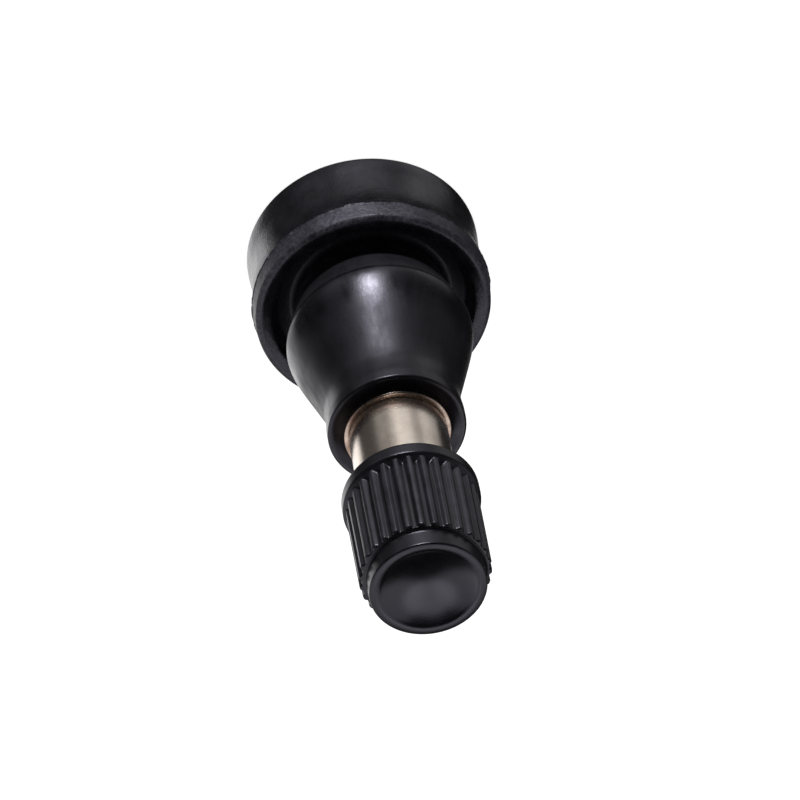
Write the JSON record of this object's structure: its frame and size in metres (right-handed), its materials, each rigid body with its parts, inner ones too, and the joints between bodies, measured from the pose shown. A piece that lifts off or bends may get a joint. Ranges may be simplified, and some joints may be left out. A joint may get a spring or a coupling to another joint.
{
  "type": "tyre valve",
  "caption": "Rubber snap-in tyre valve with a lipped base and bulb that lock in a rim hole, a plated stem, a screw-in spring core and a ribbed screw cap.",
  "frame": {"origin": "centre of the base's underside", "axes": "+Z along the valve's axis, from the base towards the cap"},
  "size_m": [0.0192, 0.0192, 0.0424],
  "materials": {
    "body_rubber": "satin black moulded rubber",
    "plated_brass": "satin nickel plate, warm beige",
    "core_brass": "plain turned brass",
    "gasket_red": "red-brown sealing sleeve",
    "spring_steel": "drawn wire",
    "seal_rubber": "matt black rubber",
    "cap_plastic": "semi-matt black plastic"
  },
  "bodies": {
    "stem": {"rubber_body": "body_rubber", "brass_stem": "plated_brass"},
    "core": {"core_barrel": "core_brass", "barrel_gasket": "gasket_red", "core_spring": "spring_steel"},
    "plug": {"core_plug": "core_brass"},
    "pin": {"core_pin": "core_brass", "pin_cup": "core_brass", "cup_seal": "seal_rubber"},
    "cap_washer": {"cap_seal": "seal_rubber"},
    "cap": {"cap_shell": "cap_plastic"}
  },
  "joints": [
    {"name": "cap_lift", "type": "slide", "parent": "stem", "child": "cap_washer", "axis": [0, 0, 1], "range_m": [0, 0.00476]},
    {"name": "cap_turn", "type": "hinge", "parent": "cap_washer", "child": "cap", "pos_m": [0, 0, 0.0399], "axis": [0, 0, 1], "range_deg": [0, 2160]},
    {"name": "core_travel", "type": "slide", "parent": "stem", "child": "core", "axis": [0, 0, 1], "range_m": [0, 0.00141]},
    {"name": "core_turn", "type": "hinge", "parent": "core", "child": "plug", "pos_m": [0, 0, 0.0353], "axis": [0, 0, 1], "range_deg": [0, 720]},
    {"name": "pin_press", "type": "slide", "parent": "core", "child": "pin", "axis": [0, 0, -1], "range_m": [0, 0.0015], "stiffness_N_per_m": 1000, "springref_m": -0.002, "deforming": ["core_spring"]}
  ],
  "couplings": [
    {"joint": "cap_turn", "follows": "cap_lift", "rad_per_m": 7915.8},
    {"joint": "core_turn", "follows": "core_travel", "rad_per_m": 8905.3}
  ]
}
